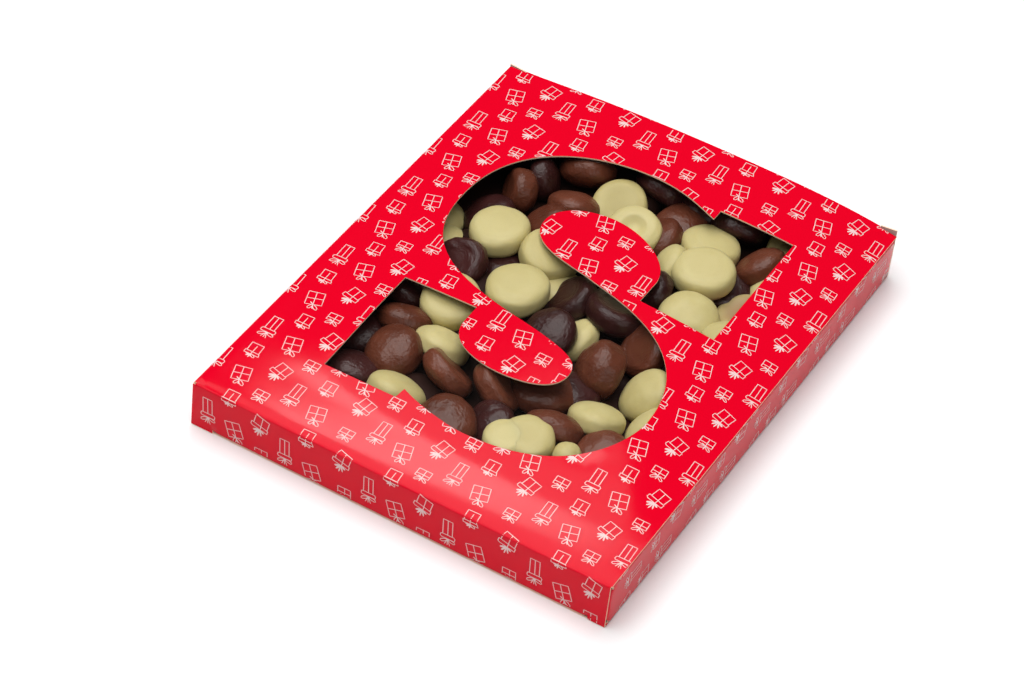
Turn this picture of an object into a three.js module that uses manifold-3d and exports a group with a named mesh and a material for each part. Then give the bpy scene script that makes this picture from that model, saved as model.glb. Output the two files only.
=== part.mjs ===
// A flat gift carton of coated biscuit sweets, with a window cut out as a big slab letter S.
// One folded sheet of card makes the carton. A clear film is glued behind the window, and the
// sweets lie loose inside, about a layer and a half deep.
// X runs along the front edge, Y from front to back, Z up. The origin is the middle of the base.

import * as THREE from "three";
import { mergeVertices } from "three/addons/utils/BufferGeometryUtils.js";
import Module from "manifold-3d";

const wasm = await Module();
wasm.setup();

// The carton, outside, in millimetres.
const WIDTH = 150;
const LENGTH = 195;
const HEIGHT = 18;
const CARD = 0.5;
const FOLD = 1.2; // outer radius of a creased fold
const FOLD_STEPS = 4;
const LAP = 1; // how far a folded strip reaches past its fold into the lid
const FRONT_FOLD = 0.6; // the lid's fold into the front panel is creased more sharply
const GLUE_FLAP = 13;
const GLUED = 0.2; // a glued flap sinks this far into the lid, so that the two are one body
const TUCK_FLAP = 14;
const DUST_FLAP = 34;
const END_GAP = 0.3; // an end panel stops this far short of the side walls' faces
const SLIT_LEFT = 8; // lengths of the slit ends, where a tuck flap is cut free of its panel
const SLIT_RIGHT = 6;
const SLIT_DEPTH = 4.8; // how far a slit end reaches past the start of its tuck flap's fold
const PROUD = 1.1; // how far the back panel's slit ends stand above the lid

// The film and the clearances between the pieces.
const FILM = 0.2;
const FILM_MARGIN = 7;
const GAP = 0.15;
const CLEAR = 0.3;

// The heap pushes the lid up into a flat-topped bulge. It starts at its left and right feet, is
// highest along its crest, starts in front at `front` and has its whole height from `full` back.
const BULGE = { height: 3.7, crest: 12, left: -66, right: 75, front: -78, full: -30 };
const BULGE_STEP_X = 13; // the bulge is sampled on lines this far apart
const BULGE_STEP_Y = 8;
const LEAST_STEP = 1;

// The window's letter. Its bowls are the two round ends of the stroke, its tongues the two leaves
// of card that reach in between, and its slabs the square ends.
const BOWL = { left: -52.3, top: 71.4, right: 50.8, bottom: -67.8 };
const WIDEST = { left: 29, right: -32.3 };
const CROWN = -5.3;
const TROUGH = 4.5;
const BOWL_CUT_UPPER = { x: 22.6, y: 64.3, slope: -21 };
const BOWL_CUT_LOWER = { x: -19.4, y: -62.1, slope: -24 };
const SLAB_UPPER = [
  [22.6, 69.3],
  [49.9, 69.3],
  [49.9, 13.1],
  [22.1, 14.5],
];
const SLAB_LOWER = [
  [-20, -66.4],
  [-46, -66.8],
  [-46, -18.6],
  [-19.3, -18.7],
];
const TONGUE_UPPER = { root: [22.2, 24.8], tip: [-3.9, 44.3], back: [-22.9, 31.2] };
const TONGUE_LOWER = { root: [-19.2, -26.5], tip: [1.1, -40.9], back: [20.6, -29.3] };
const SPINE_UPPER = { x: 4, y: 14, slope: -18 };
const SPINE_LOWER = { x: -5.8, y: -15.5, slope: -11 };

// How far the handles of each curve reach at its start and at its end, as shares of the straight
// distance between the two. Each is named for the place where its curve ends.
const REACH = {
  crown: [0.55, 0.26],
  bowlCutUpper: [0.48, 0.24],
  tongueUpperTip: [0.34, 0.34],
  tongueUpperBack: [0.49, 0.32],
  spineUpper: [0.44, 0.24],
  bowlRight: [0.15, 0.59],
  trough: [0.13, 0.68],
  bowlCutLower: [0.19, 0.35],
  tongueLowerTip: [0.48, 0.2],
  tongueLowerBack: [0.33, 0.43],
  spineLower: [0.24, 0.73],
  bowlLeft: [0.55, 0.38],
};
const CURVE_PIECES = 14;

// The sweets. One is a round biscuit, coated all over: a plump disc with a rounded rim.
const PLUMP = 0.54; // half its thickness, as a share of its radius
const SQUARENESS = 2.3; // of its section: 2 is an ellipse
const SWEET_SIDES = 12;
const SWEET_RINGS = 4;
const LOWER_SIDES = 8;
const LOWER_RINGS = 3;
const LOWER_RADIUS = 9.6;
const LOWER_PITCH = 20.6;
const LOWER_PLUMP = 0.46;
const LOW = 9; // a sweet whose middle is lower than this takes a place in the lower layer
const CORE_TOP = 5.2;
const CORE_INSET = 3;

// Under the bulge the heap stands higher: a sweet whose middle is at this height is raised as far
// as the lid, and a lower one less. As it rises it slides to the right and to the front.
const HEAP_HEIGHT = 12.5;
const SLIDE = { x: 0.45, y: -0.98 };

// The sweets that show, each as x, y, z of its middle, how far its axis leans from upright and
// which way it leans, in degrees, its radius and, where it isn't usual, its plumpness.
const WHITE_SWEETS = [
  [-36.5, 26.5, 11.1, 4, 200, 10.4],
  [-17, 5, 11, 3, 200, 10.7],
  [-17.5, 26.5, 10.4, 12, 0, 10.2],
  [-12.1, 65.1, 7.6, 24, 300, 9.6],
  [-1, 54.2, 10.2, 18, 280, 9.2],
  [23, 64, 7.8, 10, 90, 10.4],
  [28.5, 48.5, 11.1, 4, 250, 10.7],
  [15.5, 47.5, 8.8, 62, 195, 8.5],
  [33.8, 28.6, 10, 12, 300, 10.2],
  [46, 81, 6.6, 16, 0, 9.5],
  [50, 59.5, 8.2, 25, 190, 10],
  [47.5, 41.7, 6.8, 18, 180, 9.8, 0.5],
  [51, 26, 10.8, 15, 100, 10],
  [-60, 26, 6.3, 8, 0, 9.4],
  [-51, 15.5, 6.3, 8, 60, 9.6],
  [-32, -11.5, 10.5, 12, 290, 10.5],
  [-25.5, -27.7, 8.4, 35, 85, 9.6],
  [-25.5, -55, 9, 38, 80, 10],
  [32, -28.5, 8.9, 30, 105, 9.4],
  [39.7, -10, 8.6, 40, 215, 9.7],
  [47.5, -23.5, 9, 50, 180, 9.2],
  [15.5, -57, 11.4, 6, 260, 7.6, 0.64],
  [20.5, -53, 11, 6, 260, 9, 0.6],
  [33.5, -51, 11, 10, 260, 4.8, 0.85],
  [7.4, 1.8, 5.6, 40, 200, 8],
  [-8, 18.6, 5.9, 8, 0, 9.2, 0.5],
];
const MILK_SWEETS = [
  [-42.4, 51, 8.8, 72, 215, 8, 0.66],
  [-29, 73, 8.6, 42, 115, 9.8],
  [-24.5, 56.5, 8.2, 35, 100, 9.6],
  [-28, 42, 8.6, 40, 200, 8.8],
  [6, 58.5, 8, 40, 200, 8.8, 0.5],
  [40.3, 66, 8.8, 45, 170, 9.4],
  [20.9, -8.7, 10.4, 64, 205, 10.1, 0.76],
  [30, 7.5, 8.8, 45, 230, 9.3],
  [11.5, -25, 7, 10, 90, 11.4, 0.46],
  [-1, -36, 8.9, 50, 42, 9.3, 0.5],
  [23, -39.5, 8.8, 45, 100, 9.6],
  [41.8, -42.4, 8.5, 22, 260, 9.5],
  [-17, -39.5, 8.9, 50, 60, 9.3, 0.5],
  [-5, -60, 9.8, 18, 270, 10.5],
  [-36, -41, 9.8, 22, 230, 9.6, 0.6],
  [-41.5, -24.5, 8.4, 40, 105, 9.4],
  [9, 70, 6.8, 16, 270, 9.2],
];
const DARK_SWEETS = [
  [-46, 35.5, 7.6, 30, 200, 9.4],
  [-40, 7.5, 9, 36, 250, 9.4],
  [-38.9, 61.9, 8.8, 75, 25, 7.8, 0.6],
  [-4.5, 82, 8.7, 45, 75, 9.6, 0.5],
  [-1.5, 14.5, 8.2, 40, 200, 9.2, 0.52],
  [13.8, 16.2, 9.4, 20, 80, 11],
  [0.5, -4, 10, 25, 250, 8.8],
  [16.7, 33, 8.6, 50, 200, 9],
  [36, 50.4, 5.8, 8, 0, 9.4, 0.48],
  [26, 79.5, 8.7, 50, 100, 9.3, 0.5],
  [6, -51.5, 8.6, 40, 235, 8.8],
  [-28, 17.5, 5.6, 0, 0, 9.4, 0.48],
  [-43, -53, 7.6, 22, 90, 9.4],
  [-48, -10.5, 7.4, 28, 60, 9.4],
  [12, 82, 7.4, 24, 60, 9, 0.52],
  [-50, -35, 6, 8, 60, 9.4, 0.5],
  [19, -20, 6.2, 10, 60, 9, 0.48],
];
const SHOWING = [...WHITE_SWEETS, ...MILK_SWEETS, ...DARK_SWEETS];

const CARD_RED = new THREE.MeshStandardMaterial({ color: 0xe00518, roughness: 0.35 });
const CLEAR_FILM = new THREE.MeshStandardMaterial({
  color: 0xe8eef2,
  roughness: 0.1,
  transparent: true,
  opacity: 0.25,
});
const CHOCOLATE = new THREE.MeshStandardMaterial({ color: 0x6b4630, roughness: 0.4 });

// A closed solid from a geometry: seams are merged and the flat triangles at its poles dropped.
function solidOf(geometry) {
  const bare = geometry.clone();
  bare.deleteAttribute("normal");
  bare.deleteAttribute("uv");
  const merged = mergeVertices(bare, 1e-5);
  const corners = merged.index.array;
  const kept = [];
  for (let i = 0; i < corners.length; i += 3) {
    const [a, b, c] = corners.slice(i, i + 3);
    if (a !== b && b !== c && c !== a) kept.push(a, b, c);
  }
  return new wasm.Manifold(
    new wasm.Mesh({
      numProp: 3,
      vertProperties: new Float32Array(merged.attributes.position.array),
      triVerts: new Uint32Array(kept),
    }),
  );
}

// The geometry of a solid, for its mesh.
function geometryOf(solid) {
  const mesh = solid.getMesh();
  const geometry = new THREE.BufferGeometry();
  geometry.setAttribute("position", new THREE.BufferAttribute(mesh.vertProperties, 3));
  geometry.setIndex(new THREE.BufferAttribute(mesh.triVerts, 1));
  geometry.computeVertexNormals();
  return geometry;
}

function joined(solids) {
  return solids.reduce((whole, next) => whole.add(next));
}

// A flat piece of card or core between two opposite corners.
function block([x0, y0, z0], [x1, y1, z1]) {
  const box = new THREE.BoxGeometry(x1 - x0, y1 - y0, z1 - z0);
  box.translate((x0 + x1) / 2, (y0 + y1) / 2, (z0 + z1) / 2);
  return solidOf(box);
}

// The section of a folded strip of card. Its outer face passes through the corners with the card
// on its left, and every fold turns left on an arc of the given outer radius.
function stripShape(corners, radius) {
  const outer = [];
  const inner = [];
  const place = (point, normal) => {
    outer.push(point.clone());
    inner.push(point.clone().addScaledVector(normal, CARD));
  };
  const points = corners.map(([u, v]) => new THREE.Vector2(u, v));
  const ways = points.slice(1).map((point, i) => point.clone().sub(points[i]).normalize());
  const leftOf = (way) => new THREE.Vector2(-way.y, way.x);
  place(points[0], leftOf(ways[0]));
  for (let i = 1; i < ways.length; i += 1) {
    const before = ways[i - 1];
    const centre = points[i]
      .clone()
      .addScaledVector(before, -radius)
      .addScaledVector(leftOf(before), radius);
    for (let step = 0; step <= FOLD_STEPS; step += 1) {
      const turn = (step / FOLD_STEPS) * (Math.PI / 2);
      const normal = leftOf(before).rotateAround(new THREE.Vector2(), turn);
      place(centre.clone().addScaledVector(normal, -radius), normal);
    }
  }
  place(points.at(-1), leftOf(ways.at(-1)));
  return new THREE.Shape([...outer, ...inner.reverse()]);
}

// A strip whose section is drawn in X and Z, running from the front to the back.
function stripAlongY(corners, radius, from, to) {
  const strip = new THREE.ExtrudeGeometry(stripShape(corners, radius), {
    depth: to - from,
    bevelEnabled: false,
  });
  strip.rotateX(Math.PI / 2);
  strip.translate(0, to, 0);
  return solidOf(strip);
}

// A strip whose section is drawn in Y and Z, running from the left to the right.
function stripAlongX(corners, radius, from, to) {
  const strip = new THREE.ExtrudeGeometry(stripShape(corners, radius), {
    depth: to - from,
    bevelEnabled: false,
  });
  strip.rotateX(Math.PI / 2);
  strip.rotateZ(Math.PI / 2);
  strip.translate(from, 0, 0);
  return solidOf(strip);
}

// How far the lid stands above its flat height. From the crest the bulge falls with the square of
// the way to its left foot and with the cube of the way to its right foot. From the front it grows
// on a smooth step.
function lidRise(x, y) {
  const { height, crest, left, right, front, full } = BULGE;
  const toLeft = Math.max(0, crest - x) / (crest - left);
  const toRight = Math.max(0, x - crest) / (right - crest);
  const across = Math.max(0, 1 - toLeft ** 2 - toRight ** 3);
  return height * across * THREE.MathUtils.smoothstep(y, front, full);
}

// The lines on which a bulging sheet is sampled between its two edges.
function stops(low, high, first, last, step) {
  const between = [];
  for (let at = first; at <= last; at += step) {
    if (at > low + LEAST_STEP && at < high - LEAST_STEP) between.push(at);
  }
  return [low, ...between, high];
}

// A thin sheet that follows the lid's bulge, with its upper face `below` under the lid's face.
function bulgingSheet([x0, x1], [y0, y1], below, thickness) {
  const xs = stops(x0, x1, BULGE.left, BULGE.right, BULGE_STEP_X);
  const ys = stops(y0, y1, BULGE.front, BULGE.full, BULGE_STEP_Y);
  const sheet = new THREE.BoxGeometry(1, 1, thickness, xs.length - 1, ys.length - 1, 1);
  sheet.translate(0.5, 0.5, HEIGHT - below - thickness / 2);
  const place = sheet.attributes.position;
  for (let i = 0; i < place.count; i += 1) {
    const x = xs[Math.round(place.getX(i) * (xs.length - 1))];
    const y = ys[Math.round(place.getY(i) * (ys.length - 1))];
    place.setXYZ(i, x, y, place.getZ(i) + lidRise(x, y));
  }
  return solidOf(sheet);
}

// The window's outline. Each curve leaves and arrives at a stated heading, in degrees.
function letterShape() {
  const letter = new THREE.Shape();
  const handle = (x, y, heading, reach) => {
    const angle = THREE.MathUtils.degToRad(heading);
    return [x + reach * Math.cos(angle), y + reach * Math.sin(angle)];
  };
  const curveTo = (x, y, leaves, arrives, [leaveReach, arriveReach]) => {
    const { x: fromX, y: fromY } = letter.currentPoint;
    const span = Math.hypot(x - fromX, y - fromY);
    const out = handle(fromX, fromY, leaves, leaveReach * span);
    const back = handle(x, y, arrives + 180, arriveReach * span);
    letter.bezierCurveTo(...out, ...back, x, y);
  };
  const upperCut = BOWL_CUT_UPPER;
  const lowerCut = BOWL_CUT_LOWER;
  // Round the top bowl to the upper slab.
  letter.moveTo(BOWL.left, WIDEST.left);
  curveTo(CROWN, BOWL.top, 90, 0, REACH.crown);
  curveTo(upperCut.x, upperCut.y, 0, upperCut.slope, REACH.bowlCutUpper);
  for (const corner of SLAB_UPPER) letter.lineTo(...corner);
  // Round the upper tongue and down the spine's upper edge.
  letter.lineTo(...TONGUE_UPPER.root);
  curveTo(...TONGUE_UPPER.tip, 90, 180, REACH.tongueUpperTip);
  curveTo(...TONGUE_UPPER.back, 180, 270, REACH.tongueUpperBack);
  curveTo(SPINE_UPPER.x, SPINE_UPPER.y, 270, SPINE_UPPER.slope, REACH.spineUpper);
  curveTo(BOWL.right, WIDEST.right, SPINE_UPPER.slope, -90, REACH.bowlRight);
  // Round the bottom bowl to the lower slab.
  curveTo(TROUGH, BOWL.bottom, -90, -180, REACH.trough);
  curveTo(lowerCut.x, lowerCut.y, 180, 180 + lowerCut.slope, REACH.bowlCutLower);
  for (const corner of SLAB_LOWER) letter.lineTo(...corner);
  // Round the lower tongue and up the spine's lower edge.
  letter.lineTo(...TONGUE_LOWER.root);
  curveTo(...TONGUE_LOWER.tip, 270, 0, REACH.tongueLowerTip);
  curveTo(...TONGUE_LOWER.back, 0, 90, REACH.tongueLowerBack);
  curveTo(SPINE_LOWER.x, SPINE_LOWER.y, 90, 180 + SPINE_LOWER.slope, REACH.spineLower);
  curveTo(BOWL.left, WIDEST.left, 180 + SPINE_LOWER.slope, 90, REACH.bowlLeft);
  return letter;
}

// The lid with its window, before the rest of the sheet is joined to it.
function lid() {
  const window = new THREE.ExtrudeGeometry(letterShape(), {
    depth: HEIGHT,
    bevelEnabled: false,
    curveSegments: CURVE_PIECES,
  });
  window.translate(0, 0, HEIGHT / 2);
  const sheet = bulgingSheet(
    [-WIDTH / 2 + FOLD, WIDTH / 2],
    [-LENGTH / 2 + FRONT_FOLD, LENGTH / 2],
    0,
    CARD,
  );
  return sheet.subtract(solidOf(window));
}

// The left wall, the base, the right wall and the flap that is glued under the lid's right edge.
function sleeve() {
  const right = WIDTH / 2;
  const corners = [
    [-right + FOLD + LAP, HEIGHT],
    [-right, HEIGHT],
    [-right, 0],
    [right, 0],
    [right, HEIGHT - CARD],
    [right - FOLD - LAP, HEIGHT - CARD],
  ];
  const [from, to] = [-LENGTH / 2 + CARD, LENGTH / 2 - CARD];
  const flap = bulgingSheet([right - GLUE_FLAP, right - FOLD], [from, to], CARD - GLUED, CARD);
  return joined([stripAlongY(corners, FOLD, from, to), flap]);
}

// The front panel hangs from the lid, and its tuck flap lies on the base inside.
function frontEnd() {
  const front = -LENGTH / 2;
  const side = WIDTH / 2 - END_GAP;
  const panel = [
    [front + FRONT_FOLD + LAP, HEIGHT],
    [front, HEIGHT],
    [front, CARD + FOLD],
  ];
  const tuck = [
    [front, CARD + SLIT_DEPTH],
    [front, CARD],
    [front + TUCK_FLAP, CARD],
  ];
  return joined([
    stripAlongX(panel, FRONT_FOLD, -side, side),
    stripAlongX(tuck, FOLD, -side + SLIT_LEFT, side - SLIT_RIGHT),
    block([-side, front, 0], [-side + SLIT_LEFT, front + CARD, SLIT_DEPTH]),
    block([side - SLIT_RIGHT, front, 0], [side, front + CARD, SLIT_DEPTH]),
  ]);
}

// The back panel stands up from the base. Its tuck flap lies under the lid, and its two slit ends
// spring up past the lid's raw edge.
function backEnd() {
  const back = LENGTH / 2;
  const side = WIDTH / 2 - END_GAP;
  const under = HEIGHT - CARD;
  const panel = [
    [back - TUCK_FLAP, 0],
    [back, 0],
    [back, under - FOLD],
  ];
  const tuck = [
    [back, under - SLIT_DEPTH],
    [back, under],
    [back - TUCK_FLAP, under],
  ];
  const proud = HEIGHT + PROUD;
  return joined([
    stripAlongX(panel, FOLD, -side, side),
    stripAlongX(tuck, FOLD, -side + SLIT_RIGHT, side - SLIT_RIGHT),
    block([-side, back - CARD, under - SLIT_DEPTH], [-side + SLIT_RIGHT, back, proud]),
    block([side - SLIT_RIGHT, back - CARD, under - SLIT_DEPTH], [side, back, proud]),
  ]);
}

// The four dust flaps, folded in from the side walls behind the end panels.
function dustFlaps() {
  const flaps = [];
  const low = CARD + FOLD;
  const high = HEIGHT - CARD - FOLD;
  const outside = WIDTH / 2 - CARD / 2;
  for (const end of [-1, 1]) {
    const near = end * (LENGTH / 2 - CARD);
    const far = near - end * CARD;
    for (const side of [-1, 1]) {
      const xs = [side * outside, side * (outside - DUST_FLAP)].sort((a, b) => a - b);
      const ys = [near, far].sort((a, b) => a - b);
      flaps.push(block([xs[0], ys[0], low], [xs[1], ys[1], high]));
    }
  }
  return joined(flaps);
}

function carton() {
  return joined([lid(), sleeve(), frontEnd(), backEnd(), dustFlaps()]);
}

// The film covers the window with a glued margin all round, under the lid.
function film() {
  return bulgingSheet(
    [BOWL.left - FILM_MARGIN, BOWL.right + FILM_MARGIN],
    [BOWL.bottom - FILM_MARGIN, BOWL.top + FILM_MARGIN],
    CARD + GAP,
    FILM,
  );
}

// The lowest the lid gets over a body that stands at a place.
function lowestRise(x, y, { min, max }) {
  const over = (dx) => [min.y, 0, max.y].map((dy) => lidRise(x + dx, y + dy));
  return Math.min(...[min.x, 0, max.x].flatMap(over));
}

// One coated sweet: its section is a superellipse, turned round its axis. It is kept clear of the
// base below it and of the film above.
function sweet([x, y, z, lean, facing, radius, plump = PLUMP], sides, rings) {
  const profile = [];
  const power = 2 / SQUARENESS;
  for (let ring = 0; ring <= rings; ring += 1) {
    const angle = (ring / rings) * Math.PI;
    const out = ring % rings === 0 ? 0 : radius * Math.sin(angle) ** power;
    const up = Math.sign(Math.cos(angle)) * Math.abs(Math.cos(angle)) ** power;
    profile.push(new THREE.Vector2(out, -radius * plump * up));
  }
  const body = new THREE.LatheGeometry(profile, sides);
  body.rotateX(Math.PI / 2);
  body.rotateY(THREE.MathUtils.degToRad(lean));
  body.rotateZ(THREE.MathUtils.degToRad(facing));
  body.computeBoundingBox();
  const { min, max } = body.boundingBox;
  const lowest = CARD + CLEAR - min.z;
  const underFilm = HEIGHT - CARD - GAP - FILM - CLEAR;
  const highest = underFilm + lowestRise(x, y, body.boundingBox) - max.z;
  body.translate(x, y, Math.max(lowest, Math.min(z, highest)));
  return solidOf(body);
}

// A sweet that shows, raised with the lid over it.
function raised([x, y, z, ...rest]) {
  const rise = (lidRise(x, y) * z) / HEAP_HEIGHT;
  return [x + SLIDE.x * rise, y + SLIDE.y * rise, z + rise, ...rest];
}

// The lower layer under the window: sweets lying flat in offset rows, left out where one that
// shows lies that low.
function lowerLayer() {
  const lying = [];
  const rowStep = (LOWER_PITCH * Math.sqrt(3)) / 2;
  const z = CARD + CLEAR + LOWER_RADIUS * LOWER_PLUMP;
  const taken = (x, y) =>
    SHOWING.some((one) => one[2] < LOW && Math.hypot(one[0] - x, one[1] - y) < LOWER_RADIUS);
  for (let y = BOWL.bottom, row = 0; y <= BOWL.top + LOWER_RADIUS; y += rowStep, row += 1) {
    const shift = (row % 2) * (LOWER_PITCH / 2);
    for (let x = BOWL.left + shift; x <= BOWL.right + LOWER_RADIUS; x += LOWER_PITCH) {
      if (!taken(x, y)) lying.push([x, y, z, 0, 0, LOWER_RADIUS, LOWER_PLUMP]);
    }
  }
  return lying;
}

// The whole heap as one body: a core, the lower layer and the sweets that show.
function sweets() {
  const inside = {
    x: WIDTH / 2 - CARD - CORE_INSET,
    y: LENGTH / 2 - CARD - CORE_INSET,
  };
  const floor = 2 * CARD + CLEAR;
  const core = block([-inside.x, -inside.y, floor], [inside.x, inside.y, CORE_TOP]);
  const lower = lowerLayer().map((place) => sweet(place, LOWER_SIDES, LOWER_RINGS));
  const upper = SHOWING.map((place) => sweet(raised(place), SWEET_SIDES, SWEET_RINGS));
  return joined([core, ...lower, ...upper]);
}

function mesh(name, solid, material) {
  const piece = new THREE.Mesh(geometryOf(solid), material);
  piece.name = name;
  return piece;
}

const box = new THREE.Group();
box.add(mesh("carton", carton(), CARD_RED));
box.add(mesh("window_film", film(), CLEAR_FILM));
box.add(mesh("sweets", sweets(), CHOCOLATE));

export default box;
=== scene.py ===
"""A red gift carton of coated biscuit sweets, seen through a window cut as a big slab letter S.

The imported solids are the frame. Every size here is in millimetres in that frame, with X along the
front edge, Y from front to back and Z up, and becomes metres where a mesh is made.
"""

import math

import bpy
import numpy as np
from mathutils import Matrix, Vector
from mathutils.geometry import delaunay_2d_cdt


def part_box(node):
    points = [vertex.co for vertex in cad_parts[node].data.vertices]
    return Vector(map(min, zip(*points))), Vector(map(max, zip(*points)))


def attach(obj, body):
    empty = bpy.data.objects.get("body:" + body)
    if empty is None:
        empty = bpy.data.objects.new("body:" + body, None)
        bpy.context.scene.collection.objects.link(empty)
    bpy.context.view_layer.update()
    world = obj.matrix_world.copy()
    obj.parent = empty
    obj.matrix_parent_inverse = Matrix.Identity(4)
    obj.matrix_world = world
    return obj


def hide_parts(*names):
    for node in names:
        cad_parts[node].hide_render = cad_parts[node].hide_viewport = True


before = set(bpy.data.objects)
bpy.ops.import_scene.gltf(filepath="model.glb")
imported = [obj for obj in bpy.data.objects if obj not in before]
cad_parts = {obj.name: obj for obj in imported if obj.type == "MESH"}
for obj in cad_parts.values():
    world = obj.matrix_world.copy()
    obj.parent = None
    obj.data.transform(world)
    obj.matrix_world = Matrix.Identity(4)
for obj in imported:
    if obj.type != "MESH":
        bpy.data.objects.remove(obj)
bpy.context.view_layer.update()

# ------------------------------------------------------------------------------------------------
# The die-cut sheet. The whole carton is one sheet of half-millimetre board, printed red and
# varnished on one face. It is creased into a flat sleeve whose right edge is glued under the lid,
# and shut by a front panel that hangs from the lid and a back panel that stands up from the base.
# ------------------------------------------------------------------------------------------------
MM = 0.001
CARTON_LOW, CARTON_HIGH = (np.array(corner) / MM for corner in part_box("carton"))
HALF_WIDTH = (CARTON_HIGH[0] - CARTON_LOW[0]) / 2
HALF_LENGTH = (CARTON_HIGH[1] - CARTON_LOW[1]) / 2
BULGE = 3.7  # how far the heap pushes up the lid
BULGE_LEFT, BULGE_CREST, BULGE_RIGHT = -66, 12, 75
BULGE_FRONT, BULGE_FULL = -78, -30
HEIGHT = CARTON_HIGH[2] - BULGE
CARD = 0.5
FOLD = 1.2  # outer radius of a creased fold
FRONT_FOLD = 0.6  # the lid's fold into the front panel is creased more sharply
DROOP = 0.2  # the lid droops by this much over the last bit of the way to its front fold
DROOP_LENGTH = 4
FOLD_STEPS = 8
GLUE_FLAP = 13
TUCK_FLAP = 14
DUST_FLAP = 34
FLAP_INSET = 0.7  # a dust flap's sides stop this far short of the creases beside them
END_GAP = 0.3  # an end panel stops this far short of the side walls' faces
SLIT = 0.3  # width of the cut between a tuck flap and the slit end beside it
SLIT_LEFT = 8  # lengths of the front panel's slit ends, cut free of its tuck flap
SLIT_RIGHT = 6
SLIT_BACK = 6
SLIT_FOOT = 0.3  # the front panel's slit ends stop this far above the table
PROUD_LEFT = 0.7  # how far the back panel's two slit ends stand above the flat lid
PROUD_RIGHT = 2.3
PLY_GAP = 0.06  # two layers of board that lie on each other stay this far apart
EDGE = 1e-4


def creased(corners, radii):
    """The outer face of a strip of board: straight from corner to corner, each corner rounded on
    an arc of its own radius, always turning left with the outer face on the right. Gives the
    running length, the place and the outward normal of its points, and where each arc lies."""
    corners = np.array(corners, float)
    ways = np.diff(corners, axis=0)
    ways /= np.linalg.norm(ways, axis=1)[:, None]
    outward = np.stack([ways[:, 1], -ways[:, 0]], 1)
    turns = np.linspace(0, math.pi / 2, FOLD_STEPS + 1)[:, None]
    places = [corners[:1]]
    normals = [outward[:1]]
    for corner, before, away, radius in zip(corners[1:-1], ways, outward, radii):
        normal = away * np.cos(turns) + before * np.sin(turns)
        centre = corner - radius * (before + away)
        places.append(centre + radius * normal)
        normals.append(normal)
    places = np.concatenate([*places, corners[-1:]])
    normals = np.concatenate([*normals, outward[-1:]])
    steps = np.linalg.norm(np.diff(places, axis=0), axis=1)
    lengths = np.concatenate([[0], np.cumsum(steps)])
    arcs = [
        (lengths[1 + turn * (FOLD_STEPS + 1)], lengths[(turn + 1) * (FOLD_STEPS + 1)])
        for turn in range(len(radii))
    ]
    return {"length": lengths, "place": places, "normal": normals, "arcs": arcs}


def along(path, length):
    """Place and outward normal at a running length of a creased path, straight between points."""
    def at(column):
        return np.interp(length, path["length"], column)

    place = [at(column) for column in path["place"].T]
    normal = [at(column) for column in path["normal"].T]
    return place, normal


UNDER_LID = HEIGHT - CARD - PLY_GAP
BEHIND_PANEL = HALF_LENGTH - CARD - PLY_GAP
SLEEVE = creased(
    [
        (HALF_WIDTH, HEIGHT),
        (-HALF_WIDTH, HEIGHT),
        (-HALF_WIDTH, 0),
        (HALF_WIDTH, 0),
        (HALF_WIDTH, UNDER_LID),
        (HALF_WIDTH - GLUE_FLAP, UNDER_LID),
    ],
    [FOLD] * 4,
)
FRONT = creased(
    [(0, HEIGHT), (-HALF_LENGTH, HEIGHT), (-HALF_LENGTH, CARD), (TUCK_FLAP - HALF_LENGTH, CARD)],
    [FRONT_FOLD, FOLD],
)
FRONT_SLIT = creased([(0, HEIGHT), (-HALF_LENGTH, HEIGHT), (-HALF_LENGTH, -1)], [FRONT_FOLD])
BACK = creased(
    [(0, 0), (HALF_LENGTH, 0), (HALF_LENGTH, UNDER_LID), (HALF_LENGTH - TUCK_FLAP, UNDER_LID)],
    [FOLD, FOLD],
)
BACK_SLIT = creased([(0, 0), (HALF_LENGTH, 0), (HALF_LENGTH, HEIGHT + HEIGHT)], [FOLD])
DUST = creased(
    [(0, HALF_WIDTH), (-BEHIND_PANEL, HALF_WIDTH), (-BEHIND_PANEL, HALF_WIDTH - DUST_FLAP)],
    [FOLD],
)

# On the flat sheet, U runs with X on the lid, and past the left edge down the left wall, back
# under the base, up the right wall and onto the glue flap. V is Y, and runs on over the ends.
LEFT_TOP, LEFT_BOTTOM, RIGHT_BOTTOM, RIGHT_TOP = (
    (HALF_WIDTH - start, HALF_WIDTH - end) for start, end in SLEEVE["arcs"]
)
SLEEVE_END = HALF_WIDTH - SLEEVE["length"][-1]
BASE_MIDDLE = (RIGHT_BOTTOM[0] + LEFT_BOTTOM[1]) / 2
FRONT_TOP, FRONT_FOOT = (start for start, _ in FRONT["arcs"])
(BACK_FOOT, _), (BACK_TOP, BACK_TUCK) = BACK["arcs"]
DUST_START = DUST["arcs"][0][0]
FRONT_END, BACK_END, DUST_END = (path["length"][-1] for path in (FRONT, BACK, DUST))
PANEL_SIDE = HALF_WIDTH - END_GAP


def lid_rise(x, y):
    """How far the lid stands above its flat height: from the crest the bulge falls with the square
    of the way to its left foot and the cube of the way to its right foot, and from the front it
    grows on a smooth step. Its left foot is rounded off over half a millimetre of height."""
    left = np.maximum(0, BULGE_CREST - x) / (BULGE_CREST - BULGE_LEFT)
    right = np.maximum(0, x - BULGE_CREST) / (BULGE_RIGHT - BULGE_CREST)
    across = 1 - left ** 2 - right ** 3
    across = np.where(x < BULGE_CREST, (across + np.sqrt(across ** 2 + 0.01)) / 2, across)
    way = np.clip((y - BULGE_FRONT) / (BULGE_FULL - BULGE_FRONT), 0, 1)
    return BULGE * np.clip(across, 0, 1) * way * way * (3 - 2 * way)


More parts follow.
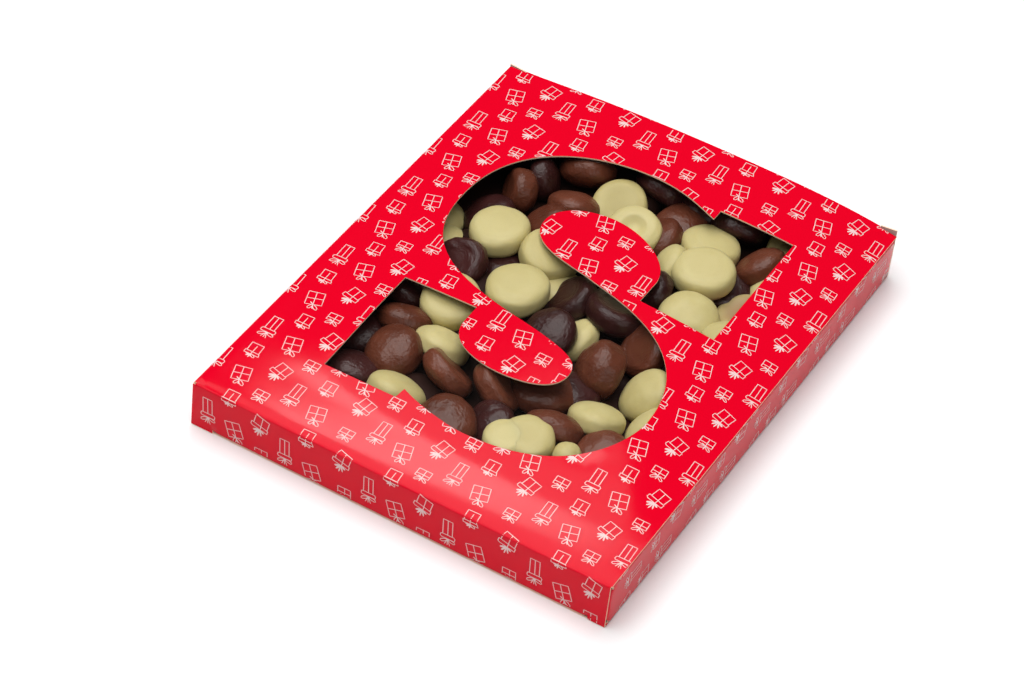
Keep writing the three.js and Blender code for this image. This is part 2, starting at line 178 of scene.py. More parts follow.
# Where the lift of the letter's lower tongue begins, and over what way it comes in.
LIFT_LEFT, LIFT_LEFT_WAY = -24, 16
LIFT_RIGHT, LIFT_RIGHT_WAY = 46, 18
LIFT_FRONT, LIFT_FRONT_WAY = -58, 10


def tongue_lift(x, y):
    """How far the letter's lower tongue, cut free in front, stands above the lid's bulge: it stays
    level where the bulge falls to the front. It comes in on smooth steps round the tongue."""
    ways = np.clip(np.stack([
        (x - LIFT_LEFT) / LIFT_LEFT_WAY, (LIFT_RIGHT - x) / LIFT_RIGHT_WAY,
        (y - LIFT_FRONT) / LIFT_FRONT_WAY,
    ]), 0, 1)
    inside = np.prod(ways ** 2 * (3 - 2 * ways), 0)
    return inside * np.maximum(lid_rise(x, np.full_like(y, BULGE_FULL)) - lid_rise(x, y), 0)


def in_range(values, low, high):
    """True for the values from `low` to `high`, with a hair's breadth to spare at each end."""
    return (values > low - EDGE) & (values < high + EDGE)


def folded(u, v, below=0.0):
    """Where the flat sheet's points lie on the shut carton. The sleeve's crease path gives X and Z
    for U. Past an end's first crease that end's own path gives Y and Z for V, and the dust flaps
    turn in from the walls. `below` goes into the board, against the outward normal."""
    (x, z), (nx, nz) = along(SLEEVE, HALF_WIDTH - u)
    y, ny = v.copy(), np.zeros_like(v)

    def turn_end(chosen, path, slit_path, in_slit, sign, across):
        """Lays the chosen points along an end's path, or along its slit ends' own."""
        for part, route in ((chosen & ~in_slit, path), (chosen & in_slit, slit_path)):
            (py, pz), (qy, qz) = along(route, sign * v[part])
            y[part], z[part], ny[part], nz[part] = py, pz, qy, qz
            x[part], nx[part] = across[part], 0

    lid = (u > LEFT_TOP[0] - EDGE) | ((u > -PANEL_SIDE - EDGE) & (v < -HALF_LENGTH))
    front = lid & (v < -FRONT_TOP)
    foot = (u < SLIT_LEFT + SLIT / 2 - PANEL_SIDE) | (u > PANEL_SIDE - SLIT_RIGHT - SLIT / 2)
    turn_end(front, FRONT, FRONT_SLIT, foot & (v < -FRONT_FOOT), -1, u)
    back = (np.abs(u - BASE_MIDDLE) < PANEL_SIDE + EDGE) & (v > BACK_FOOT)
    head = np.abs(u - BASE_MIDDLE) > PANEL_SIDE - SLIT_BACK - SLIT / 2
    turn_end(back, BACK, BACK_SLIT, head & (v > BACK_TOP), 1, BASE_MIDDLE - u)

    left = in_range(u, LEFT_BOTTOM[0], LEFT_TOP[1])
    right = in_range(u, RIGHT_TOP[0], RIGHT_BOTTOM[1])
    flap = (left | right) & (np.abs(v) > DUST_START + EDGE)
    (py, px), (qy, qx) = along(DUST, np.abs(v[flap]))
    side, end = np.where(left[flap], -1, 1), np.sign(v[flap])
    y[flap], x[flap] = -py * end, px * side
    ny[flap], nx[flap], nz[flap] = -qy * end, qx * side, 0

    top = (lid & ~front) | (u < RIGHT_TOP[1] + EDGE) | in_range(u, LEFT_TOP[1], LEFT_TOP[0])
    z = z + np.where(top, lid_rise(x, y), 0) + np.where(lid, tongue_lift(x, y), 0)
    near_fold = np.clip((DROOP_LENGTH - HALF_LENGTH - y) / DROOP_LENGTH, 0, 1) ** 2
    down = np.where(front, np.clip((z - CARD) / UNDER_LID, 0, 1), near_fold)
    z = z - DROOP * np.where(lid, down, 0)
    return np.stack([x - below * nx, y - below * ny, z - below * nz], 1)


# The window's letter, as straight lines and curves. A curve leaves and arrives at a heading in
# degrees, and its handles reach the given shares of the straight way between its ends.
LETTER_START = (-52.3, 29)
LETTER = [
    ("curve", (-5.3, 71.4), 90, 0, 0.55, 0.26),
    ("curve", (22.6, 64.3), 0, -21, 0.48, 0.24),
    ("line", (22.6, 69.3)),
    ("line", (49.9, 69.3)),
    ("line", (49.9, 13.1)),
    ("line", (22.1, 14.5)),
    ("line", (22.2, 24.8)),
    ("curve", (-3.9, 44.3), 90, 180, 0.34, 0.34),
    ("curve", (-22.9, 31.2), 180, 270, 0.49, 0.32),
    ("curve", (4, 14), 270, -18, 0.44, 0.24),
    ("curve", (50.8, -32.3), -18, -90, 0.15, 0.59),
    ("curve", (4.5, -67.8), -90, -180, 0.13, 0.68),
    ("curve", (-19.4, -62.1), 180, 156, 0.19, 0.35),
    ("line", (-20, -66.4)),
    ("line", (-46, -66.8)),
    ("line", (-46, -18.6)),
    ("line", (-19.3, -18.7)),
    ("line", (-19.2, -26.5)),
    ("curve", (1.1, -40.9), 270, 0, 0.48, 0.2),
    ("curve", (20.6, -29.3), 0, 90, 0.33, 0.43),
    ("curve", (-5.8, -15.5), 90, 169, 0.24, 0.73),
    ("curve", (-52.3, 29), 169, 90, 0.55, 0.38),
]
OUTLINE_STEP = 0.8


def letter_outline():
    """The letter as a closed ring of points about OUTLINE_STEP apart: straight lines, and cubic
    curves whose two handles lie on their headings."""
    here = np.array(LETTER_START, float)
    ring = []
    for kind, end, *shape in LETTER:
        end = np.array(end, float)
        span = np.linalg.norm(end - here)
        count = max(2, round(span / OUTLINE_STEP))
        t = (np.arange(count) / count)[:, None]
        if kind == "line":
            ring.append(here + (end - here) * t)
        else:
            leaves, arrives = (math.radians(heading) for heading in shape[:2])
            out = here + shape[2] * span * np.array([math.cos(leaves), math.sin(leaves)])
            back = end - shape[3] * span * np.array([math.cos(arrives), math.sin(arrives)])
            s = 1 - t
            ring.append(s ** 3 * here + 3 * s * s * t * out + 3 * s * t * t * back + t ** 3 * end)
        here = end
    return np.concatenate(ring)


WINDOW = letter_outline()


def in_window(points):
    """True for the points inside the window: a ray to the right crosses its outline an odd number
    of times."""
    crossings = np.zeros(len(points), int)
    x, y = points.T
    for a, b in zip(WINDOW, np.roll(WINDOW, -1, axis=0)):
        if a[1] != b[1]:
            spans = (a[1] > y) != (b[1] > y)
            crossings += spans & (x < a[0] + (y - a[1]) * (b[0] - a[0]) / (b[1] - a[1]))
    return crossings % 2 == 1


def from_window(points):
    """Distance of each point from the window's outline."""
    nearest = np.full(len(points), np.inf)
    for corner in WINDOW:
        nearest = np.minimum(nearest, np.hypot(*(points - corner).T))
    return nearest


def rectangle(u0, u1, v0, v1):
    """The corners of a panel with square corners."""
    return [(u0, v0), (u1, v0), (u1, v1), (u0, v1)]


def tongue(u0, u1, v0, v1, cut_u, cut_v):
    """A flap that hangs from the line at `v0` and has its two far corners cut off."""
    back = math.copysign(cut_v, v0 - v1)
    low, high = u0 + cut_u, u1 - cut_u
    return [(u0, v0), (u1, v0), (u1, v1 + back), (high, v1), (low, v1), (u0, v1 + back)]


STRIP_FRONT = -96.8  # the sleeve's creases run this far to the front and to the back
STRIP_BACK = 96.0
BASE_FRONT = -97.0
LID_BACK = HALF_LENGTH
NOTCH = 0.6  # the lid's back corners are cut back this far, clear of the slit ends
FLARE = 0.05  # an end panel reaches its full width this far past its crease
TUCK_CUT = (5, 8)  # how much is cut off the corners of a tuck flap, and of a dust flap
DUST_CUT = (1.5, 10)
SLANT_RIGHT = 0.7  # each of the back panel's slit ends is this much lower at its inner side
SLANT_LEFT = 0.5
slit_drop = FRONT_FOOT + CARD + FOLD - SLIT_FOOT
back_low = BACK_TOP + HEIGHT - (UNDER_LID - FOLD)
crease_half = -LEFT_TOP[0]
notch_at = PANEL_SIDE - SLIT_BACK - SLIT
PANELS = [
    [
        (-crease_half, LID_BACK - NOTCH), (-notch_at, LID_BACK - NOTCH), (-notch_at, LID_BACK),
        (notch_at, LID_BACK), (notch_at, LID_BACK - NOTCH), (HALF_WIDTH, LID_BACK - NOTCH),
        (HALF_WIDTH, -FRONT_TOP), (PANEL_SIDE, -FRONT_TOP - FLARE), (PANEL_SIDE, -FRONT_FOOT),
        (-PANEL_SIDE, -FRONT_FOOT), (-PANEL_SIDE, -HALF_LENGTH - FLARE),
        (-crease_half, -HALF_LENGTH - EDGE), (-crease_half, STRIP_FRONT),
    ],
    rectangle(-PANEL_SIDE, SLIT_LEFT - PANEL_SIDE, -FRONT_FOOT, -slit_drop),
    tongue(
        SLIT_LEFT + SLIT - PANEL_SIDE, PANEL_SIDE - SLIT_RIGHT - SLIT, -FRONT_FOOT, -FRONT_END,
        *TUCK_CUT,
    ),
    rectangle(PANEL_SIDE - SLIT_RIGHT, PANEL_SIDE, -FRONT_FOOT, -slit_drop),
    rectangle(LEFT_TOP[1], LEFT_TOP[0], STRIP_FRONT, LID_BACK - NOTCH),
    rectangle(LEFT_BOTTOM[0], LEFT_TOP[1], -DUST_START, DUST_START),
    rectangle(LEFT_BOTTOM[1], LEFT_BOTTOM[0], BASE_FRONT, STRIP_BACK),
    rectangle(RIGHT_BOTTOM[0], LEFT_BOTTOM[1], BASE_FRONT, BACK_FOOT),
    [
        (RIGHT_BOTTOM[0], BACK_FOOT), (BASE_MIDDLE - PANEL_SIDE, BACK_FOOT + FLARE),
        (BASE_MIDDLE - PANEL_SIDE, BACK_TOP), (BASE_MIDDLE + PANEL_SIDE, BACK_TOP),
        (BASE_MIDDLE + PANEL_SIDE, BACK_FOOT + FLARE), (LEFT_BOTTOM[1], BACK_FOOT),
    ],
    [
        (BASE_MIDDLE - PANEL_SIDE, BACK_TOP), (BASE_MIDDLE - PANEL_SIDE, back_low + PROUD_RIGHT),
        (BASE_MIDDLE - PANEL_SIDE + SLIT_BACK, back_low + PROUD_RIGHT - SLANT_RIGHT),
        (BASE_MIDDLE - PANEL_SIDE + SLIT_BACK, BACK_TOP),
    ],
    tongue(BASE_MIDDLE - notch_at, BASE_MIDDLE + notch_at, BACK_TOP, BACK_END, *TUCK_CUT),
    [
        (BASE_MIDDLE + PANEL_SIDE, BACK_TOP), (BASE_MIDDLE + PANEL_SIDE, back_low + PROUD_LEFT),
        (BASE_MIDDLE + PANEL_SIDE - SLIT_BACK, back_low + PROUD_LEFT - SLANT_LEFT),
        (BASE_MIDDLE + PANEL_SIDE - SLIT_BACK, BACK_TOP),
    ],
    rectangle(RIGHT_BOTTOM[1], RIGHT_BOTTOM[0], BASE_FRONT, STRIP_BACK),
    rectangle(RIGHT_TOP[0], RIGHT_BOTTOM[1], -DUST_START, DUST_START),
    rectangle(RIGHT_TOP[1], RIGHT_TOP[0], -DUST_START, DUST_START),
    [
        (RIGHT_TOP[1], -DUST_START), (SLEEVE_END, -DUST_START + GLUE_FLAP),
        (SLEEVE_END, DUST_START - GLUE_FLAP), (RIGHT_TOP[1], DUST_START),
    ],
]
for low, high in ((LEFT_BOTTOM[0], LEFT_TOP[1]), (RIGHT_TOP[0], RIGHT_BOTTOM[1])):
    for end in (-1, 1):
        sides = (low + FLAP_INSET, high - FLAP_INSET)
        PANELS.append(tongue(*sides, end * DUST_START, end * DUST_END, *DUST_CUT))

GRID = 3  # the sheet is sampled on lines at most this far apart, and on every line of a crease
NEAR_WINDOW = 1.0  # no point of the grid lies nearer to the window's outline
MERGED = 1e-5  # points nearer than this become one


def lines_between(stops):
    """The stops, with further lines spread evenly between them where they are far apart."""
    stops = np.unique(np.round(stops, 6))
    lines = [
        np.linspace(a, b, max(1, math.ceil((b - a) / GRID)), endpoint=False)
        for a, b in zip(stops, stops[1:])
    ]
    return np.concatenate([*lines, stops[-1:]])


def leftward(ring):
    """A closed ring turned, where it has to be, to run with its inside on the left."""
    x, y = np.array(ring).T
    area = (x * np.roll(y, -1) - y * np.roll(x, -1)).sum()
    return ring if area > 0 else ring[::-1]


def flat_sheet():
    """Triangles of the die-cut sheet on U and V: the panels and the window's outline are laid over
    a grid of points and triangulated together, and what lies on no panel is dropped."""
    grid_u = lines_between([
        *(HALF_WIDTH - SLEEVE["length"]), -PANEL_SIDE, PANEL_SIDE,
        BASE_MIDDLE - PANEL_SIDE, BASE_MIDDLE + PANEL_SIDE,
    ])
    ends = [*BACK["length"][1:], *(-FRONT["length"][1:]), *DUST["length"][1:]]
    edges = [LID_BACK, LID_BACK - NOTCH, STRIP_BACK, STRIP_FRONT, BASE_FRONT]
    grid_v = lines_between([*ends, *(-DUST["length"][1:]), *edges])
    grid = np.stack(np.meshgrid(grid_u, grid_v), -1).reshape(-1, 2)
    grid = grid[from_window(grid) > NEAR_WINDOW]
    points = [*leftward(WINDOW).tolist(), *grid.tolist()]
    faces = [list(range(len(WINDOW)))]
    for panel in PANELS:
        faces.append(list(range(len(points), len(points) + len(panel))))
        points.extend(leftward(panel))
    made = delaunay_2d_cdt([tuple(point) for point in points], [], faces, 0, MERGED, True)
    flat = np.array([tuple(point) for point in made[0]])
    kept = [face for face, origin in zip(made[2], made[5]) if origin and 0 not in origin]
    used, corners = np.unique(np.array(kept), return_inverse=True)
    return flat[used], corners.reshape(-1, 3)


def mesh_object(name, points, faces):
    """A mesh object from points in millimetres and lists or arrays of faces."""
    mesh = bpy.data.meshes.new(name)
    faces = [face for group in faces for face in np.asarray(group).tolist()]
    mesh.from_pydata((np.asarray(points) * MM).tolist(), [], faces)
    mesh.update()
    made = bpy.data.objects.new(name, mesh)
    bpy.context.scene.collection.objects.link(made)
    return made


SMOOTH_UP_TO = 35  # degrees; a sharper edge of the board shows as an edge
flat, triangles = flat_sheet()
count = len(flat)
halves = np.concatenate([triangles[:, [0, 1]], triangles[:, [1, 2]], triangles[:, [2, 0]]])
keys = halves[:, 0] * count + halves[:, 1]
rim = halves[~np.isin(halves[:, 1] * count + halves[:, 0], keys)]
rim_quads = np.stack([rim[:, 1], rim[:, 0], rim[:, 0] + count, rim[:, 1] + count], 1)
board = np.concatenate([folded(*flat.T), folded(*flat.T, CARD)])
carton = mesh_object(
    "carton_board", board, [triangles, triangles[:, ::-1] + count, rim_quads]
)
surface = np.repeat([0, 1, 2], [len(triangles), len(triangles), len(rim_quads)])
carton.data.polygons.foreach_set("material_index", surface.astype(np.int32))
carton.data.shade_smooth()
carton.data.set_sharp_from_angle(angle=math.radians(SMOOTH_UP_TO))


def shader_of(made):
    """The principled shader's node of a material."""
    return made.node_tree.nodes["Principled BSDF"]


def material(name, colour, roughness, ior=1.45):
    """A new material with its principled shader's colour, roughness and IOR set."""
    made = bpy.data.materials.new(name)
    made.use_nodes = True
    shader = shader_of(made)
    shader.inputs["Base Color"].default_value = (*colour, 1)
    shader.inputs["Roughness"].default_value = roughness
    shader.inputs["IOR"].default_value = ior
    return made


PRINT_RED = (0.67, 0.0005, 0.015)
BARE_BOARD = (0.42, 0.37, 0.33)
RAW_EDGE = (0.9, 0.64, 0.46)
carton.data.materials.append(material("red_print", PRINT_RED, 0.08, 1.22))
carton.data.materials.append(material("bare_board", BARE_BOARD, 0.75))
carton.data.materials.append(material("raw_edge", RAW_EDGE, 0.8))
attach(carton, "root")
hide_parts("carton")

# ------------------------------------------------------------------------------------------------
# The print: white line drawings of little gift parcels, printed on the red before the sheet is
# cut. They repeat on a brick-like lattice that runs on over the creases.
# ------------------------------------------------------------------------------------------------
PITCH_U = 29.56
PITCH_V = 21.1
ROW_SHIFT = -5.8
ROW_NUDGE = 0.45  # the rows stand this far to and fro from an even pitch
ROWS = np.arange(-6, 8)  # enough rows and columns for the whole sheet
COLUMNS = np.arange(-7, 7)
FRONT_LAG = 1.6  # the front panel's print lies this much further from the fold
LATTICE_U = -69.3  # the middle of the tall parcel in the lattice's first cell
LATTICE_V = -20.1
INK = 0.26  # width of a printed line
INK_PROUD = 0.03
INK_MARGIN = 0.1  # the print stops this far short of an edge of the board
INK_SPECK = 0.002  # a printed bit with less area than this is left out
LEAF_POINTS = 9
INK_COARSE = 3.0  # the longest piece of a line on the flat, and near a crease or a cut edge
INK_FINE = 0.65
REACH = 6.5  # no parcel reaches further than this from its middle


def leaf(x, y, heading, length, width):
    """Outline of a bow's loop or tail that leaves its knot at (x, y): a drop, widest past its
    middle, along a heading in degrees."""
    t = np.linspace(0, 2 * math.pi, LEAF_POINTS)
    turn = math.radians(heading)
    out = length / 2 * (1 - np.cos(t))
    side = width / 2 * np.sin(t) * (0.6 + 0.4 * out / length)
    return np.stack([
        x + out * math.cos(turn) - side * math.sin(turn),
        y + out * math.sin(turn) + side * math.cos(turn),
    ], 1)


# Each kind of parcel: its lines and the loops of its bow, then the bow's solid leaves.
TALL = (
    [
        [(-1.65, -1.4), (-1.9, 4.7), (1.45, 4.8), (1.75, -1.4)],
        [(-0.2, 4.7), (0.15, -1.4)],
        [(-2.3, -1.7), (-1.9, -1.45), (2.3, -1.35), (2.75, -1.8), (2.6, -2.9), (-2, -3),
         (-2.4, -2.6), (-2.3, -1.7)],
        leaf(0.2, -3.2, -147, 3.0, 1.3),
        leaf(0.2, -3.2, -14, 2.8, 1.3),
        [(0.2, -3.2), (-0.7, -5.5)],
        [(0.2, -3.2), (0.3, -5.5)],
        [(0.2, -3.2), (1.2, -5.6)],
    ],
    [leaf(-0.5, -3.2, 0, 1.4, 0.9)],
)
SQUARE = (
    [
        [(-2.65, 1.8), (2.6, 3.2), (4.5, -2.3), (-0.8, -4.1), (-2.65, 1.8)],
        [(-0.1, 2.5), (1.8, -3.2)],
        [(-1.8, -1.3), (3.6, 0.5)],
        leaf(1.8, -3.2, -107, 2.4, 1.3),
        leaf(1.8, -3.2, -37, 2.9, 1.4),
    ],
    [leaf(1.8, -3.2, -66, 2.1, 0.6), leaf(2.1, -3.3, 152, 2.0, 0.5)],
)
LIDDED = (
    [
        [(-1.4, 1), (-0.6, 4.6), (4.3, 3.2), (3.5, -0.4)],
        [(1.9, 3.9), (1, -1.4)],
        [(-2.1, 1.15), (3.8, -0.5), (3.5, -1.9), (-1.9, -0.6), (-2.4, -0.1), (-2.1, 1.15)],
    ],
    [leaf(0.8, -1.2, -155, 2.6, 1), leaf(0.8, -1.2, -127, 2.9, 0.8), leaf(0.8, -1.2, -102, 3.2, 0.6),
     leaf(0.8, -1.2, -75, 2.8, 0.7), leaf(0.8, -1.2, -40, 2.1, 0.9)],
)
HALF = (
    [
        [(-1.45, -1.7), (-1.8, 2.1), (2.45, 2.3), (2.85, -1.7)],
        [(0.55, 1.3), (0.65, -3)],
        [(-1.9, -1.7), (3, -1.7), (3.5, -2.85), (-1.8, -2.95), (-1.9, -1.7)],
        leaf(0.7, -2.9, -28, 1.9, 1),
    ],
    [leaf(0.7, -2.9, -168, 1.7, 0.8), leaf(0.7, -2.9, -135, 1.7, 0.8), leaf(0.7, -2.9, -96, 1.7, 0.6),
     leaf(0.7, -2.9, -62, 1.2, 0.5)],
)
SMALL = (
    [
        [(-0.9, 2.6), (3.7, 2.7), (3.9, -0.6), (-0.8, -0.6), (-0.9, 2.6)],
        [(1.6, 2.6), (1.75, -0.6)],
        [(-0.85, 0.6), (3.8, 0.6)],
        leaf(1.8, -0.7, -143, 2.6, 1.1),
        leaf(1.8, -0.7, -36, 2.5, 1),
    ],
    [leaf(2, -0.8, 160, 1.9, 0.5), leaf(1.75, -0.6, -92, 1.8, 0.5)],
)
# Each kind with its place from the cell's tall one, and how far it is nudged to and fro from one
# cell to the next.
PARCELS = [
    (TALL, (0, 0), (-0.48, -0.72)),
    (SQUARE, (9.1, -2.7), (-0.42, -0.79)),
    (LIDDED, (18.9, 5.5), (0.08, 0.9)),
    (HALF, (6.6, 8.9), (-0.54, -0.58)),
    (SMALL, (19.7, -7.15), (0.5, 0.61)),
]


def ribbon(line, step):
    """A printed line as triangles: points along it, half its width to each side."""
    line = np.array(line, float)
    lengths = np.concatenate([[0], np.cumsum(np.linalg.norm(np.diff(line, axis=0), axis=1))])
    even = np.linspace(0, lengths[-1], max(2, math.ceil(lengths[-1] / step) + 1))
    stops = np.unique(np.concatenate([even, lengths]).round(3))
    middle = np.stack([np.interp(stops, lengths, line[:, axis]) for axis in (0, 1)], 1)
    ways = np.diff(middle, axis=0)
    ways /= np.linalg.norm(ways, axis=1)[:, None]
    way = np.concatenate([ways[:1], ways[1:] + ways[:-1], ways[-1:]])
    way /= np.linalg.norm(way, axis=1)[:, None]
    across = np.stack([-way[:, 1], way[:, 0]], 1) * INK / 2
    right, left = middle - across, middle + across
    lower = np.stack([right[:-1], right[1:], left[1:]], 1)
    upper = np.stack([right[:-1], left[1:], left[:-1]], 1)
    return [*lower, *upper]


def inked(lines, leaves, step):
    """One parcel as triangles that don't overlap, merged from all its lines and leaves."""
    pieces = [piece for line in lines for piece in ribbon(line, step)]
    pieces += [shape[:-1] for shape in leaves]
    rings = []
    corners = []
    for piece in pieces:
        x, y = np.array(piece).T
        area = (x * np.roll(y, -1) - y * np.roll(x, -1)).sum() / 2
        if abs(area) > INK_SPECK:
            ring = piece if area > 0 else piece[::-1]
            rings.append(list(range(len(corners), len(corners) + len(ring))))
            corners.extend(Vector(point) for point in ring)
    made = delaunay_2d_cdt(corners, [], rings, 0, EDGE, True)
    points = np.array([tuple(point) for point in made[0]])
    return points, np.array([face for face, owners in zip(made[2], made[5]) if owners])


def joined(parts):
    """Several lists of points and faces as one."""
    starts = np.cumsum([0] + [len(points) for points, _ in parts[:-1]])
    points = np.concatenate([points for points, _ in parts])
    return points, np.concatenate([faces + start for (_, faces), start in zip(parts, starts)])


def printed_places(kind_shift, nudge):
    """Where one kind of parcel stands all over the sheet's printed panels."""
    rows, columns = np.meshgrid(ROWS, COLUMNS, indexing="ij")
    sign = np.where(columns % 2 == 0, -1, 1)
    u = LATTICE_U + PITCH_U * columns + ROW_SHIFT * (rows % 2) + kind_shift[0] + nudge[0] * sign
    v = LATTICE_V + PITCH_V * rows + kind_shift[1] + nudge[1] * sign
    v += np.where(rows % 2 == 0, -ROW_NUDGE, ROW_NUDGE)
    v -= np.where(v < -HALF_LENGTH, FRONT_LAG, 0)
    return np.stack([u.ravel(), v.ravel()], 1)


def on_print(points):
    """True where the printed face shows: on the lid and the front panel, round the walls and the
    base, and on the back panel, but not in the window."""
    u, v = points.T
    lid = (u > LEFT_TOP[0]) & (u < HALF_WIDTH - INK_MARGIN)
    lid &= (v > -FRONT_TOP) & (v < LID_BACK - INK_MARGIN)
    lid &= (v < LID_BACK - NOTCH - INK_MARGIN) | (np.abs(u) < notch_at)
    front = (u > LEFT_TOP[0]) & (np.abs(u) < PANEL_SIDE - INK_MARGIN)
    front &= (v <= -FRONT_TOP) & (v > INK_MARGIN - slit_drop)
    round_sleeve = (u <= LEFT_TOP[0]) & (u > RIGHT_TOP[1]) & (np.abs(v) < DUST_START)
    back = (np.abs(u - BASE_MIDDLE) < crease_half) & (v > BACK_FOOT) & (v < BACK_TUCK)
    shown = lid | front | round_sleeve | back
    shown &= ~front | ~in_range(v, -FRONT_FOOT - 2 * INK_MARGIN, -FRONT_FOOT)
    shown[lid] &= ~in_window(points[lid])
    return shown


def by_edge(places):
    """True where a parcel may cross a crease, the window's edge or the edge of the print."""
    turns = np.radians(np.arange(0, 360, 45))[:, None]
    probe = REACH * np.concatenate([[[0, 0]], np.hstack([np.cos(turns), np.sin(turns)])])
    around = (places[:, None] + probe).reshape(-1, 2)
    shown = on_print(around).reshape(-1, len(probe))
    creases = np.array([LEFT_TOP[0], LEFT_BOTTOM[0], RIGHT_BOTTOM[0], HALF_WIDTH])
    by_turn = np.abs(places[:, :1] - creases).min(1) < REACH
    by_turn |= np.abs(np.abs(places[:, 1]) - FRONT_TOP) < REACH
    return shown.any(1), by_turn | ~shown.all(1)


def ink_sheet():
    """Triangles of the whole print on U and V: each kind's drawing is copied to its places, in
    long pieces on the flat and in short ones near a crease or an edge, and cut off at the edges."""
    parts = []
    for (lines, leaves), shift, nudge in PARCELS:
        places = printed_places(shift, nudge)
        shown, fine = by_edge(places)
        for step, chosen in ((INK_COARSE, shown & ~fine), (INK_FINE, shown & fine)):
            shape, faces = inked(lines, leaves, step)
            points = (places[chosen][:, None] + shape[None]).reshape(-1, 2)
            starts = (np.arange(chosen.sum()) * len(shape))[:, None, None]
            parts.append((points, (faces[None] + starts).reshape(-1, 3)))
    points, faces = joined(parts)
    keep = on_print(points)[faces].all(1)
    used, corners = np.unique(faces[keep], return_inverse=True)
    return points[used], corners.reshape(-1, 3)


ink_flat, ink_faces = ink_sheet()
ink = mesh_object("printed_parcels", folded(*ink_flat.T, -INK_PROUD), [ink_faces])
ink.data.materials.append(material("white_ink", (0.73, 0.53, 0.52), 0.2, 1.25))
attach(ink, "root")

# ------------------------------------------------------------------------------------------------
# The window film: one clear sheet, glued behind the window with a margin all round, so it follows
# the lid's bulge.
# ------------------------------------------------------------------------------------------------
FILM_MARGIN = 7
FILM_STEP = 4
film_low = WINDOW.min(0) - FILM_MARGIN
film_high = WINDOW.max(0) + FILM_MARGIN


def surface_grid(us, vs):
    """Points of a grid over two lists of values, and its quads."""
    grid_u, grid_v = np.meshgrid(us, vs, indexing="ij")
    rows, columns = grid_u.shape
    first = (np.arange(rows - 1)[:, None] * columns + np.arange(columns - 1)).reshape(-1, 1)
    return grid_u.ravel(), grid_v.ravel(), first + np.array([[0, columns, columns + 1, 1]])


film_x, film_y, film_quads = surface_grid(
    np.arange(film_low[0], film_high[0], FILM_STEP), np.arange(film_low[1], film_high[1], FILM_STEP)
)
film_z = HEIGHT - CARD - PLY_GAP + lid_rise(film_x, film_y)
film = mesh_object("window_sheet", np.stack([film_x, film_y, film_z], 1), [film_quads])
film.data.shade_smooth()
clear_film = bpy.data.materials.new("clear_film")
clear_film.use_nodes = True
tree = clear_film.node_tree
tree.nodes.clear()
output = tree.nodes.new("ShaderNodeOutputMaterial")
mixed = tree.nodes.new("ShaderNodeMixShader")
through = tree.nodes.new("ShaderNodeBsdfTransparent")
shine = tree.nodes.new("ShaderNodeBsdfGlossy")
edge_on = tree.nodes.new("ShaderNodeFresnel")
through.inputs["Color"].default_value = (0.97, 0.97, 0.96, 1)
shine.inputs["Roughness"].default_value = 0.2
edge_on.inputs["IOR"].default_value = 1.05
tree.links.new(edge_on.outputs["Fac"], mixed.inputs["Fac"])
tree.links.new(through.outputs["BSDF"], mixed.inputs[1])
tree.links.new(shine.outputs["BSDF"], mixed.inputs[2])
tree.links.new(mixed.outputs["Shader"], output.inputs["Surface"])
film.data.materials.append(clear_film)
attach(film, "root")
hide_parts("window_film")

# ------------------------------------------------------------------------------------------------
# The sweets: round biscuits, coated all over with white, milk or dark chocolate. They are rolled
# while the coating sets, so each is a plump disc, a little uneven, and lies where it fell.
# ------------------------------------------------------------------------------------------------
PLUMP = 0.5
DOME = 2.05  # power of the superellipse of a sweet's domed side, and of its flat side
FLAT = 4.0
AROUND = 64  # points round a sweet, and rings from pole to pole
RINGS = 34
FLOOR_GAP = 0.3
FILM_GAP = 0.5
HEAP_HEIGHT = 12.5  # a sweet at this height is raised as far as the lid over it
SLIDE = (0.45, -0.98)  # how far a raised sweet moves in X and Y for each millimetre that it rises

